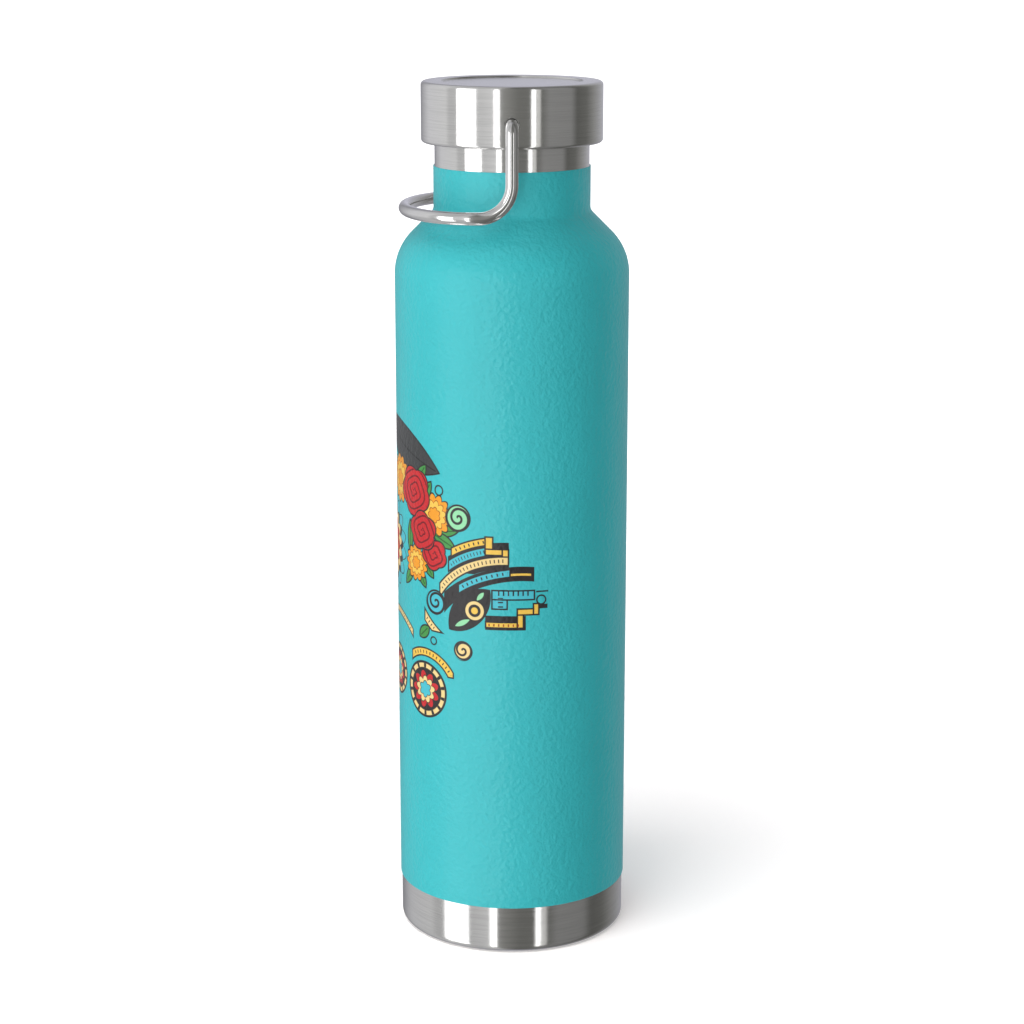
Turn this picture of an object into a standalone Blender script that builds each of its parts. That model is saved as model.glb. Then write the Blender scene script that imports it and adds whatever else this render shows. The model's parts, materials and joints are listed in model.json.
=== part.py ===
"""Insulated water bottle with a copper-plated liner, a screw cap and a wire loop.

Sizes are metres and +Z is up. The origin is the middle of the base, on the
surface that the bottle stands on. The loop hangs on the -X side and its pivot
runs along Y through the cap.
"""
import math

import bmesh
import bpy
from mathutils import Vector

MM = 0.001

# Body
BODY_RADIUS = 36.5 * MM       # outside of the powder coat
NECK_RADIUS = 24.3 * MM       # outside of the coat on the neck
BODY_TOP = 212.0 * MM         # where the straight body ends and the shoulder starts
SHOULDER_ARC = 18.0 * MM      # big rounding at the top of the body
NECK_FILLET = 3.0 * MM        # small hollow rounding at the foot of the neck
SHOULDER_SLOPE = 45.0         # degrees
COATED_NECK = 12.5 * MM       # straight coated neck above the shoulder
BARE_NECK = 7.1 * MM          # steel band between the coat and the cap
BASE_BAND = 15.2 * MM         # steel band below the coat

# Sheet and coating thicknesses
COAT = 0.3 * MM
COAT_GAP = 0.1 * MM           # between the coat and the steel under it
OUTER_WALL = 0.45 * MM
LINER_WALL = 0.45 * MM
NECK_WALL = 0.55 * MM         # liner where the thread is rolled
PLATING = 0.1 * MM
PLATING_GAP = 0.1 * MM
VACUUM_GAP = 3.5 * MM         # between the two walls of the body
NECK_VACUUM_GAP = 1.0 * MM
SHOULDER_VACUUM_GAP = 2.5 * MM
FIT_GAP = 0.3 * MM            # between pieces that seat on each other

# Bottom
BASE_ROLL = 2.2 * MM          # rounding of the foot
FOOT_WIDTH = 1.1 * MM         # flat ring that the bottle stands on
COVER_STEP = 0.7 * MM         # how far the middle of the base cover is set in
COVER_RING = 3.4 * MM         # width of the cover's outer ring
PAN_HEIGHT = 6.0 * MM         # underside of the base pan
PAN_WALL = 0.8 * MM
GETTER_CLEARANCE = 0.8 * MM   # between the getter and the plating above it
LINER_CORNER = 4.0 * MM
LINER_SKIRT = 10.2 * MM       # height of the liner's base, up to its weld
PORT_RADIUS = 1.0 * MM
SEAL_RADIUS = 3.5 * MM
SEAL_HEIGHT = 1.1 * MM
GETTER_RADIUS = 5.4 * MM
GETTER_HEIGHT = 1.2 * MM
GETTER_OFFSET = 15.0 * MM     # from the port
HOLDER_WALL = 0.4 * MM
HOLDER_GAP = 0.1 * MM         # under the getter

# Mouth and thread
RIM_ABOVE_SKIRT = 1.4 * MM
RIM_THICKNESS = 1.0 * MM
THREAD_STARTS = 2
THREAD_PITCH = 4.0 * MM
THREAD_DEPTH = 1.0 * MM
THREAD_CLEARANCE = 0.35 * MM
THREAD_TOP = 3.0 * MM         # below the rim
THREAD_LENGTH = 13.0 * MM
THREAD_RUN_OUT = 2.0 * MM
ROWS_PER_PITCH = 4

# Cap
CAP_OVERHANG = 3.7 * MM       # beyond the coat on the neck
CAP_HEIGHT = 18.6 * MM
CAP_WALL = 0.5 * MM
CAP_EDGE = 1.2 * MM           # rounding at the top
SKIRT_CURL = 1.0 * MM         # rounding at the bottom
RECESS_RING = 6.1 * MM        # flat ring round the debossed circle
RECESS_DEPTH = 0.6 * MM
GASKET_HEIGHT = 1.3 * MM
GASKET_WIDTH = 1.9 * MM
SKIRT_CLEARANCE = 0.9 * MM    # around the bare neck
PLUG_LENGTH = 17.3 * MM       # below the rim
PLUG_WALL = 2.45 * MM
PLUG_ROOF = 3.4 * MM          # solid plastic under the pivot
COVER_THICKNESS = 1.2 * MM
COVER_LIP = 2.8 * MM

# Wire loop
WIRE_RADIUS = 1.9 * MM
PIVOT_ABOVE_SKIRT = 7.35 * MM
LOOP_DROP = 27.45 * MM        # from the pivot down to the loop
LOOP_OVERHANG = 5.2 * MM      # far side of the loop beyond the cap
LEG_GAP = 1.1 * MM            # between the cap and the legs
PIVOT_BEND = 3.2 * MM
LOWER_BEND = 10.0 * MM
LOOP_STRAIGHT = 0.5 * MM      # between the lower bend and the half ellipse
HEAD_STEP = 1.0 * MM          # upset end inside the cap, beyond the wire
HEAD_LENGTH = 1.4 * MM
HEAD_INSET = 2.0 * MM         # from the inside of the shell to the head
CORE_FLOOR = 2.6 * MM         # upper core inside its ring of plastic
WIRE_CLEARANCE = 0.45 * MM    # around the wire in the shell's holes
POCKET_CLEARANCE = 0.35 * MM

# Mesh resolution
SEGMENTS = 36
ARC_STEPS = 3
FILLET_SHARE = 0.9            # most of the liner's slope that its neck fillet may take
WIRE_SIDES = 10

# Heights and radii that follow from the driving dimensions
slope = math.radians(SHOULDER_SLOPE)
slope_width = (BODY_RADIUS - NECK_RADIUS
               - (SHOULDER_ARC + NECK_FILLET) * (1 - math.cos(slope)))
shoulder_top = (BODY_TOP + (SHOULDER_ARC + NECK_FILLET) * math.sin(slope)
                + slope_width / math.tan(slope))
coat_top = shoulder_top + COATED_NECK
skirt_bottom = coat_top + BARE_NECK
rim_top = skirt_bottom + RIM_ABOVE_SKIRT
pivot_z = skirt_bottom + PIVOT_ABOVE_SKIRT
cap_top = skirt_bottom + CAP_HEIGHT
steel_inset = COAT + COAT_GAP
wall_inset = steel_inset + OUTER_WALL
liner_radius = BODY_RADIUS - wall_inset - VACUUM_GAP
neck_bore = NECK_RADIUS - wall_inset - NECK_VACUUM_GAP - NECK_WALL
getter_floor = PAN_HEIGHT + PAN_WALL + FIT_GAP
getter_low = getter_floor + HOLDER_WALL + HOLDER_GAP
liner_bottom = getter_low + GETTER_HEIGHT + GETTER_CLEARANCE + PLATING_GAP + PLATING
liner_join = liner_bottom + LINER_SKIRT
plug_radius = neck_bore - THREAD_CLEARANCE - THREAD_DEPTH
foot_radius = BODY_RADIUS - steel_inset - BASE_ROLL
thread_high = rim_top - THREAD_TOP
thread_low = thread_high - THREAD_LENGTH
cap_radius = NECK_RADIUS + CAP_OVERHANG
recess_radius = cap_radius - RECESS_RING
loop_reach = cap_radius + LOOP_OVERHANG
head_radius = WIRE_RADIUS + HEAD_STEP
core_radius = cap_radius - CAP_WALL - FIT_GAP
gasket_bottom = rim_top + FIT_GAP
core_underside = gasket_bottom + GASKET_HEIGHT + FIT_GAP
plug_bottom = rim_top - PLUG_LENGTH
plug_hollow = plug_radius - PLUG_WALL
leg_y = cap_radius + LEG_GAP + WIRE_RADIUS
head_outer_y = cap_radius - CAP_WALL - HEAD_INSET


def clear_scene():
    """Remove whatever the file holds, so that the script starts empty."""
    for thing in list(bpy.context.scene.objects):
        bpy.data.objects.remove(thing)


def make_material(name, colour, roughness, metallic=0.0):
    """Plain Principled finish of one sub-part."""
    material = bpy.data.materials.new(name)
    material.use_nodes = True
    shader = material.node_tree.nodes["Principled BSDF"]
    shader.inputs["Base Color"].default_value = (*colour, 1.0)
    shader.inputs["Roughness"].default_value = roughness
    shader.inputs["Metallic"].default_value = metallic
    return material


def add_piece(name, shape, finish, smooth_below=35.0):
    """Turn a bmesh into a named object with its own material."""
    bmesh.ops.recalc_face_normals(shape, faces=shape.faces)
    mesh = bpy.data.meshes.new(name)
    shape.to_mesh(mesh)
    shape.free()
    mesh.shade_smooth()
    mesh.set_sharp_from_angle(angle=math.radians(smooth_below))
    mesh.materials.append(make_material(name, *finish))
    piece = bpy.data.objects.new(name, mesh)
    bpy.context.scene.collection.objects.link(piece)
    return piece


def arc(centre, radius, start, end, steps=ARC_STEPS):
    """Points of an arc in the (radius, height) plane, angles in degrees."""
    points = []
    for step in range(steps + 1):
        angle = math.radians(start + (end - start) * step / steps)
        points.append((centre[0] + radius * math.cos(angle),
                       centre[1] + radius * math.sin(angle)))
    return points


def shoulder(body_r, neck_r, start_z, big_r, small_r):
    """Outline from the straight body up to the straight neck."""
    big = arc((body_r - big_r, start_z), big_r, 0, SHOULDER_SLOPE)
    run = big[-1][0] - neck_r - small_r * (1 - math.cos(slope))
    top_z = big[-1][1] + run / math.tan(slope) + small_r * math.sin(slope)
    small = arc((neck_r + small_r, top_z), small_r, 180 + SHOULDER_SLOPE, 180, 2)
    return big + small


def outer_shoulder(inset):
    """Shoulder of the body, moved in from the coat's outside by an inset."""
    return shoulder(BODY_RADIUS - inset, NECK_RADIUS - inset, BODY_TOP,
                    SHOULDER_ARC - inset, NECK_FILLET + inset)


def liner_shoulder(grow, neck_r):
    """Shoulder of the liner, which keeps the vacuum gap to the outer wall."""
    big_r = SHOULDER_ARC - (BODY_RADIUS - liner_radius)
    body_line = BODY_RADIUS - SHOULDER_ARC + SHOULDER_ARC / math.cos(slope)
    liner_line = liner_radius - big_r + big_r / math.cos(slope)
    inset = (wall_inset + SHOULDER_VACUUM_GAP) / math.cos(slope)
    start_z = BODY_TOP + (body_line - liner_line - inset) / math.tan(slope)
    room = liner_radius - big_r * (1 - math.cos(slope)) - neck_r
    fillet = min(NECK_FILLET, FILLET_SHARE * room / (1 - math.cos(slope)))
    return shoulder(liner_radius + grow, neck_r, start_z, big_r + grow, fillet)


def lathe(name, outline, finish, centre=(0.0, 0.0)):
    """Solid of revolution about Z from a closed outline of (radius, height)."""
    shape = bmesh.new()
    rim = [shape.verts.new((radius, 0.0, height)) for radius, height in outline]
    ends = list(zip(rim, rim[1:] + rim[:1]))
    if outline[0][0] == 0.0 and outline[-1][0] == 0.0:
        ends.pop()
    edges = [shape.edges.new(pair) for pair in ends]
    bmesh.ops.spin(shape, geom=rim + edges, cent=(0, 0, 0), axis=(0, 0, 1),
                   angle=math.tau, steps=SEGMENTS, use_merge=True)
    bmesh.ops.remove_doubles(shape, verts=shape.verts, dist=1e-6)
    piece = add_piece(name, shape, finish)
    piece.location = (*centre, 0.0)
    return piece


def sweep(name, stations, finish):
    """Closed tube through stations, each a point and a radius."""
    shape = bmesh.new()
    points = [Vector(point) for point, _ in stations]
    side = Vector((1.0, 0.0, 0.0))
    rings = []
    for index, (point, radius) in enumerate(stations):
        before = points[max(index - 1, 0)]
        after = points[min(index + 1, len(points) - 1)]
        along = (after - before).normalized()
        side = (side - along * side.dot(along)).normalized()
        other = along.cross(side)
        ring = []
        for turn in range(WIRE_SIDES):
            angle = math.tau * turn / WIRE_SIDES
            offset = side * math.cos(angle) + other * math.sin(angle)
            ring.append(shape.verts.new(Vector(point) + offset * radius))
        rings.append(ring)
    for low, high in zip(rings, rings[1:]):
        for turn in range(WIRE_SIDES):
            following = (turn + 1) % WIRE_SIDES
            shape.faces.new((low[turn], low[following], high[following], high[turn]))
    shape.faces.new(rings[0])
    shape.faces.new(rings[-1])
    return add_piece(name, shape, finish)


def thread_rows():
    """Heights of the mesh rows that carry the thread."""
    step = THREAD_PITCH / ROWS_PER_PITCH
    return [thread_low + step * row for row in range(round(THREAD_LENGTH / step) + 1)]


def form_thread(piece, wall_r, inner):
    """Push a plain wall into a thread: ridges inward, or the screw that fits them."""
    for vertex in piece.data.vertices:
        x, y, z = vertex.co
        radius = math.hypot(x, y)
        if abs(radius - wall_r) > 0.01 * MM:
            continue
        run_out = min(z - thread_low, thread_high - z) / THREAD_RUN_OUT
        fade = min(max(run_out, 0.0), 1.0)
        turn = THREAD_STARTS * math.atan2(y, x) - math.tau * z / THREAD_PITCH
        ridge = (1 + math.cos(turn)) / 2
        shift = -ridge if inner else 1 - ridge
        scale = (wall_r + shift * THREAD_DEPTH * fade) / wall_r
        vertex.co = (x * scale, y * scale, z)


def cut(piece, cutters):
    """Cut hidden cutters out of a piece."""
    for cutter in cutters:
        cutter.hide_render = True
        cutter.display_type = "WIRE"
        change = piece.modifiers.new(cutter.name, "BOOLEAN")
        change.operation = "DIFFERENCE"
        change.solver = "EXACT"
        change.object = cutter


def hang(piece, parent):
    """Parent a piece without moving it."""
    piece.parent = parent
    piece.matrix_parent_inverse = parent.matrix_world.inverted()


def add_axis(name, place, pieces):
    """Empty on a joint's axis, with the pieces that move about it."""
    axis = bpy.data.objects.new(name, None)
    axis.empty_display_size = 10 * MM
    axis.location = place
    bpy.context.scene.collection.objects.link(axis)
    bpy.context.view_layer.update()
    for piece in pieces:
        hang(piece, axis)
    return axis


# Finishes: colour, roughness and, for metal, metallic
TURQUOISE_COAT = ((0.05, 0.48, 0.51), 0.38)
BRUSHED_STEEL = ((0.62, 0.62, 0.64), 0.28, 1.0)
BRIGHT_STEEL = ((0.70, 0.70, 0.72), 0.12, 1.0)
COPPER = ((0.80, 0.42, 0.28), 0.25, 1.0)
DARK_PLASTIC = ((0.03, 0.03, 0.035), 0.45)
CLEAR_SILICONE = ((0.72, 0.74, 0.74), 0.5)
WHITE_FOAM = ((0.86, 0.86, 0.82), 0.9)
GETTER_GREY = ((0.25, 0.25, 0.27), 0.6, 1.0)
SOLDER_GLASS = ((0.12, 0.13, 0.10), 0.2)


def make_outer_wall():
    """Drawn steel shell: rolled foot, straight body, shoulder and neck."""
    wall_top = rim_top - RIM_THICKNESS - FIT_GAP
    foot = arc((foot_radius, BASE_ROLL), BASE_ROLL, 270, 360)
    foot_inside = arc((foot_radius, BASE_ROLL), BASE_ROLL - OUTER_WALL, 360, 270)
    outline = [(foot_radius - FOOT_WIDTH, 0.0), *foot, *outer_shoulder(steel_inset)]
    outline += [(NECK_RADIUS - steel_inset, wall_top), (NECK_RADIUS - wall_inset, wall_top)]
    outline += [*reversed(outer_shoulder(wall_inset)), *foot_inside]
    outline += [(foot_radius - FOOT_WIDTH, OUTER_WALL)]
    return lathe("outer_wall", outline, BRUSHED_STEEL)


def make_powder_coat():
    """Baked coat from the base band up to the bare neck."""
    outline = [(BODY_RADIUS, BASE_BAND), *outer_shoulder(0.0), (NECK_RADIUS, coat_top)]
    outline += [(NECK_RADIUS - COAT, coat_top), *reversed(outer_shoulder(COAT))]
    outline += [(BODY_RADIUS - COAT, BASE_BAND)]
    return lathe("powder_coat", outline, TURQUOISE_COAT)


def make_inner_wall():
    """Liner: straight wall, shoulder, rolled thread and the drinking rim."""
    inside = liner_radius - LINER_WALL
    neck_outside = neck_bore + NECK_WALL
    rim_outside = NECK_RADIUS - steel_inset
    rim_edge = rim_top - RIM_THICKNESS
    start = liner_join + FIT_GAP
    round_over = 0.4 * RIM_THICKNESS
    outline = [(inside, start), *liner_shoulder(-LINER_WALL, neck_bore)]
    outline += [(neck_bore, row) for row in thread_rows()]
    outline += [(neck_bore, rim_top - round_over), (neck_bore + round_over, rim_top)]
    outline += [(rim_outside - round_over, rim_top), (rim_outside, rim_top - round_over)]
    outline += [(rim_outside, rim_edge), (neck_outside, rim_edge)]
    outline += [*reversed(liner_shoulder(0.0, neck_outside)), (liner_radius, start)]
    piece = lathe("inner_wall", outline, BRUSHED_STEEL)
    form_thread(piece, neck_bore, inner=True)
    return piece


def make_inner_base():
    """Dished bottom of the liner, welded to its wall."""
    corner = (liner_radius - LINER_CORNER, liner_bottom + LINER_CORNER)
    outline = [(0.0, liner_bottom), *arc(corner, LINER_CORNER, 270, 360)]
    outline += [(liner_radius, liner_join), (liner_radius - LINER_WALL, liner_join)]
    outline += [*arc(corner, LINER_CORNER - LINER_WALL, 360, 270)]
    outline += [(0.0, liner_bottom + LINER_WALL)]
    return lathe("inner_base", outline, BRUSHED_STEEL)


def make_copper_plating():
    """Copper layer over the liner's vacuum side, up to the neck."""
    near = PLATING_GAP
    far = PLATING_GAP + PLATING
    corner = (liner_radius - LINER_CORNER, liner_bottom + LINER_CORNER)
    neck_outside = neck_bore + NECK_WALL
    outline = [(0.0, liner_bottom - far), *arc(corner, LINER_CORNER + far, 270, 360)]
    outline += liner_shoulder(far, neck_outside + far)[:-2]
    outline += list(reversed(liner_shoulder(near, neck_outside + near)[:-2]))
    outline += [*arc(corner, LINER_CORNER + near, 360, 270), (0.0, liner_bottom - near)]
    return lathe("copper_plating", outline, COPPER)


def make_base_pan():
    """Bottom of the outer wall, with the evacuation port in the middle."""
    outside = BODY_RADIUS - wall_inset - FIT_GAP
    flange_bottom = BASE_ROLL
    top = PAN_HEIGHT + PAN_WALL
    outline = [(PORT_RADIUS, PAN_HEIGHT), (outside - PAN_WALL, PAN_HEIGHT)]
    outline += [(outside - PAN_WALL, flange_bottom), (outside, flange_bottom)]
    outline += [(outside, top - PAN_WALL), (outside - PAN_WALL, top), (PORT_RADIUS, top)]
    return lathe("base_pan", outline, BRUSHED_STEEL)


def make_base_cover():
    """Thin disc that hides the port, seated on the rolled foot."""
    outside = foot_radius
    low = OUTER_WALL + FIT_GAP
    ring = outside - COVER_RING
    high = low + COVER_STEP
    outline = [(0.0, high), (ring - COVER_STEP, high), (ring, low), (outside, low)]
    outline += [(outside, low + OUTER_WALL), (ring, low + OUTER_WALL)]
    outline += [(ring - COVER_STEP, high + OUTER_WALL), (0.0, high + OUTER_WALL)]
    return lathe("base_cover", outline, BRUSHED_STEEL)


def make_port_seal():
    """Bead of solder glass that closes the evacuation port."""
    top = PAN_HEIGHT - FIT_GAP
    bottom = top - SEAL_HEIGHT
    outline = [(0.0, bottom), (0.6 * SEAL_RADIUS, bottom)]
    outline += [(SEAL_RADIUS, bottom + 0.6 * SEAL_HEIGHT), (SEAL_RADIUS, top), (0.0, top)]
    return lathe("vacuum_port_seal", outline, SOLDER_GLASS)


def make_getter():
    """Gas-trapping tablet and the cup that holds it on the pan."""
    tablet_high = getter_low + GETTER_HEIGHT
    bore = GETTER_RADIUS + FIT_GAP
    outside = bore + HOLDER_WALL
    cup_top = getter_low + 0.6 * GETTER_HEIGHT
    place = (GETTER_OFFSET, 0.0)
    tablet = [(0.0, getter_low), (GETTER_RADIUS, getter_low)]
    tablet += [(GETTER_RADIUS, tablet_high), (0.0, tablet_high)]
    cup = [(0.0, getter_floor), (outside, getter_floor), (outside, cup_top), (bore, cup_top)]
    cup += [(bore, getter_floor + HOLDER_WALL), (0.0, getter_floor + HOLDER_WALL)]
    lathe("getter_capsule", tablet, GETTER_GREY, place)
    lathe("getter_holder", cup, BRUSHED_STEEL, place)


def make_neck_gasket():
    """Silicone ring between the rim and the cap."""
    middle = (neck_bore + NECK_RADIUS - steel_inset) / 2
    inside = middle - GASKET_WIDTH / 2
    outside = middle + GASKET_WIDTH / 2
    top = gasket_bottom + GASKET_HEIGHT
    bulge = gasket_bottom + 0.3 * GASKET_HEIGHT
    outline = [(inside + 0.2 * GASKET_WIDTH, gasket_bottom)]
    outline += [(outside - 0.2 * GASKET_WIDTH, gasket_bottom), (outside, bulge)]
    outline += [(outside, top), (inside, top), (inside, bulge)]
    return lathe("neck_gasket", outline, CLEAR_SILICONE)


def make_cap_shell(wire_bore):
    """Drawn steel cover with a debossed top and a hole for each end of the loop."""
    curl = (cap_radius - SKIRT_CURL, skirt_bottom + SKIRT_CURL)
    edge = (cap_radius - CAP_EDGE, cap_top - CAP_EDGE)
    floor = cap_top - RECESS_DEPTH
    step = RECESS_DEPTH / 2
    outline = [*arc(curl, SKIRT_CURL, 270, 360), *arc(edge, CAP_EDGE, 0, 90)]
    outline += [(recess_radius, cap_top), (recess_radius - step, floor), (0.0, floor)]
    outline += [(0.0, floor - CAP_WALL), (recess_radius - step, floor - CAP_WALL)]
    outline += [(recess_radius, cap_top - CAP_WALL)]
    outline += [*arc(edge, CAP_EDGE - CAP_WALL, 90, 0)]
    outline += [*arc(curl, SKIRT_CURL - CAP_WALL, 360, 270)]
    split = outline.index((0.0, floor)) + 1
    piece = lathe("cap_shell", outline[split:] + outline[:split], BRUSHED_STEEL)
    cut(piece, [wire_bore])
    return piece


def make_cap_core(pockets):
    """Threaded lower half of the plastic core, with half of each pivot pocket."""
    top = pivot_z - FIT_GAP / 2
    skirt_inside = NECK_RADIUS - steel_inset + SKIRT_CLEARANCE
    skirt_low = skirt_bottom + SKIRT_CURL
    roof = pivot_z - PLUG_ROOF
    outline = [(0.0, roof), (plug_hollow, roof), (plug_hollow, plug_bottom)]
    outline += [(plug_radius, plug_bottom)]
    outline += [(plug_radius, row) for row in thread_rows()]
    outline += [(plug_radius, core_underside), (skirt_inside, core_underside)]
    outline += [(skirt_inside, skirt_low), (core_radius, skirt_low)]
    outline += [(core_radius, top), (0.0, top)]
    piece = lathe("cap_core", outline, DARK_PLASTIC)
    form_thread(piece, plug_radius, inner=False)
    cut(piece, pockets)
    return piece


def make_core_upper(pockets):
    """Upper half of the core, which clamps over the ends of the loop."""
    low = pivot_z + FIT_GAP / 2
    high = cap_top - CAP_WALL - FIT_GAP
    corner = core_radius - CAP_EDGE
    well = recess_radius + FIT_GAP
    outline = [(0.0, low), (core_radius, low), (core_radius, high - CAP_EDGE)]
    outline += [(corner, high), (well, high), (well, low + CORE_FLOOR), (0.0, low + CORE_FLOOR)]
    piece = lathe("core_upper", outline, DARK_PLASTIC)
    cut(piece, pockets)
    return piece


def make_plug_filling():
    """Foam in the hollow plug and the cover that closes it."""
    radius = plug_hollow - FIT_GAP
    lip_top = plug_bottom + COVER_LIP
    foam_low = lip_top + FIT_GAP
    foam_high = pivot_z - PLUG_ROOF - FIT_GAP
    foam = [(0.0, foam_low), (radius, foam_low), (radius, foam_high), (0.0, foam_high)]
    top = plug_bottom - FIT_GAP
    low = top - COVER_THICKNESS
    rim = plug_radius - FIT_GAP
    cover = [(0.0, low), (rim - COVER_THICKNESS / 2, low), (rim, low + COVER_THICKNESS / 2)]
    cover += [(rim, top), (radius, top), (radius, lip_top)]
    cover += [(radius - COVER_THICKNESS, lip_top), (radius - COVER_THICKNESS, top), (0.0, top)]
    return [lathe("cap_insulation", foam, WHITE_FOAM), lathe("plug_cover", cover, DARK_PLASTIC)]


def bend(centre, start, end, steps):
    """Quarter of an ellipse about a centre, from one arm to another."""
    points = []
    for step in range(steps + 1):
        angle = math.radians(90.0) * step / steps
        points.append(Vector(centre) + Vector(start) * math.cos(angle) + Vector(end) * math.sin(angle))
    return points


def loop_path():
    """Centre line of the wire about the pivot, from the front end to the back end."""
    oval = LOWER_BEND + LOOP_STRAIGHT
    half = [Vector((0.0, -head_outer_y, 0.0))]
    half += bend((0.0, -leg_y + PIVOT_BEND, -PIVOT_BEND), (0, 0, PIVOT_BEND), (0, -PIVOT_BEND, 0), 4)
    half += bend((-LOWER_BEND, -leg_y, -LOOP_DROP + LOWER_BEND), (LOWER_BEND, 0, 0),
                 (0, 0, -LOWER_BEND), 6)
    half += bend((-oval, 0.0, -LOOP_DROP), (0, -leg_y, 0), (oval - loop_reach, 0, 0), 9)
    return half + [Vector((x, -y, z)) for x, y, z in reversed(half[:-1])]


def make_bail_handle():
    """Bent wire loop with an upset head on each end."""
    path = loop_path()
    first = Vector((0.0, -head_outer_y + HEAD_LENGTH, 0.0))
    last = Vector((0.0, head_outer_y - HEAD_LENGTH, 0.0))
    stations = [(first, head_radius), (path[0], head_radius)]
    stations += [(point, WIRE_RADIUS) for point in path]
    stations += [(path[-1], head_radius), (last, head_radius)]
    piece = sweep("bail_handle", stations, BRIGHT_STEEL)
    piece.location = (0.0, 0.0, pivot_z)
    return piece


def make_pivot_cutters():
    """Bore for the wire through the shell, and stepped pockets for the heads."""
    wire = WIRE_RADIUS + WIRE_CLEARANCE
    head = head_radius + POCKET_CLEARANCE
    past = cap_radius + LEG_GAP
    outer = head_outer_y + POCKET_CLEARANCE
    inner = head_outer_y - HEAD_LENGTH - POCKET_CLEARANCE
    bore = sweep("wire_bore", [((0, -past, 0), wire), ((0, past, 0), wire)], BRIGHT_STEEL)
    pockets = []
    for side, name in ((-1, "front_pocket"), (1, "back_pocket")):
        stations = [((0, side * past, 0), wire), ((0, side * outer, 0), wire)]
        stations += [((0, side * outer, 0), head), ((0, side * inner, 0), head)]
        pockets.append(sweep(name, stations, BRIGHT_STEEL))
    for cutter in [bore, *pockets]:
        cutter.location = (0.0, 0.0, pivot_z)
    return bore, pockets


def build():
    """Make every sub-part and hang the moving ones on their axes."""
    clear_scene()
    make_outer_wall()
    make_powder_coat()
    make_inner_wall()
    make_inner_base()
    make_copper_plating()
    make_base_pan()
    make_base_cover()
    make_port_seal()
    make_getter()
    gasket = make_neck_gasket()
    bore, pockets = make_pivot_cutters()
    cap_pieces = [make_cap_shell(bore), make_cap_core(pockets), make_core_upper(pockets)]
    cap_pieces += make_plug_filling()
    handle = make_bail_handle()
    rise_axis = add_axis("cap_rise_axis", (0.0, 0.0, rim_top), [gasket])
    turn_axis = add_axis("cap_turn_axis", (0.0, 0.0, rim_top), cap_pieces)
    swing_axis = add_axis("bail_swing_axis", (0.0, 0.0, pivot_z), [handle])
    hang(turn_axis, rise_axis)
    hang(swing_axis, turn_axis)
    for cutter in [bore, *pockets]:
        hang(cutter, turn_axis)


build()
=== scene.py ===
# %% [markdown]
# # A copper-lined bottle with a wire loop
#
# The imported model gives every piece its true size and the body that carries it. This
# file is about looks: it makes each visible piece again with fine edges, gives each
# finish its own node material, and lights the bottle like a catalogue picture. It
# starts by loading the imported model, whose solids stay where they are, and notes the
# box round all of them.

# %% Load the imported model
import json
import math

import bmesh
import bpy
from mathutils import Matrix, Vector


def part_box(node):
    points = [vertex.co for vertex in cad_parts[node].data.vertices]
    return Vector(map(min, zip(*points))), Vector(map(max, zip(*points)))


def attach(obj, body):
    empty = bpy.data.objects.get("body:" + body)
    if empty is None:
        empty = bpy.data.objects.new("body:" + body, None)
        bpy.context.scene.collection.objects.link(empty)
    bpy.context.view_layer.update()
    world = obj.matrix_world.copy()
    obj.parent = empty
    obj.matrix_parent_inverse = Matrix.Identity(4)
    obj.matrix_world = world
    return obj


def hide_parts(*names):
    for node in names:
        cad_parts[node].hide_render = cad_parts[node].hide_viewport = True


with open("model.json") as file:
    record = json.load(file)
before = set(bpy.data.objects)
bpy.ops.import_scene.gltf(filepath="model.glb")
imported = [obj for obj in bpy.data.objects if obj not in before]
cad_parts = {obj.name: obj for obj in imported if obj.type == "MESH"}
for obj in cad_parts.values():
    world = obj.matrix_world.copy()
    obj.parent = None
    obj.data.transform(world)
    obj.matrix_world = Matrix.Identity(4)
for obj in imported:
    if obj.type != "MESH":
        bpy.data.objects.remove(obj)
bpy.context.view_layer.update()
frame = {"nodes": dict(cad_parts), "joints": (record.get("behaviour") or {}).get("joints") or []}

MM = 0.001

# %% [markdown]
# ## Sizes
#
# A piece that is made again has to land exactly where its solid is. So the outer
# sizes are read from the solids' boxes, and only what a box can't tell, such as how
# thick a sheet is or how softly an edge is rolled, is written here as a number.

# %% Read the sizes of the solids
def low(node):
    """Lowest corner of a solid's box."""
    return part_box(node)[0]


def high(node):
    """Highest corner of a solid's box."""
    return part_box(node)[1]


coat_radius = high("powder_coat").x
steel_radius = high("outer_wall").x
coat_low = low("powder_coat").z
coat_high = high("powder_coat").z
cap_radius = high("cap_shell").x
cap_low = low("cap_shell").z
cap_high = high("cap_shell").z
rim_high = high("inner_wall").z
pivot_high = next(j["pos_m"][2] for j in frame["joints"] if j["name"] == "bail_swing")
NECK_STEP = 3.7 * MM
neck_radius = cap_radius - NECK_STEP
print("radii in mm:", [round(r / MM, 2) for r in (coat_radius, steel_radius, neck_radius, cap_radius)])

# %% [markdown]
# ## Turned outlines
#
# Almost every piece of a bottle is spun or turned, so its shape is one outline swept
# round the axis. Sheet metal has no sharp corners: each is rolled to a small radius
# that catches a thin line of light. `rounded` takes corners as radius, height and
# rounding, and puts an arc in place of each corner that has a rounding.

# %% Draw outlines
def arc(centre, radius, start, end, steps):
    """Points of an arc in the (radius, height) plane, angles in degrees."""
    turns = [math.radians(start + (end - start) * s / steps) for s in range(steps + 1)]
    return [(centre[0] + radius * math.cos(t), centre[1] + radius * math.sin(t)) for t in turns]


def rows(start, end, parts):
    """Points evenly spaced between two outline points, without the two ends."""
    mixes = [part / parts for part in range(1, parts)]
    return [(start[0] + (end[0] - start[0]) * m, start[1] + (end[1] - start[1]) * m) for m in mixes]


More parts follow.
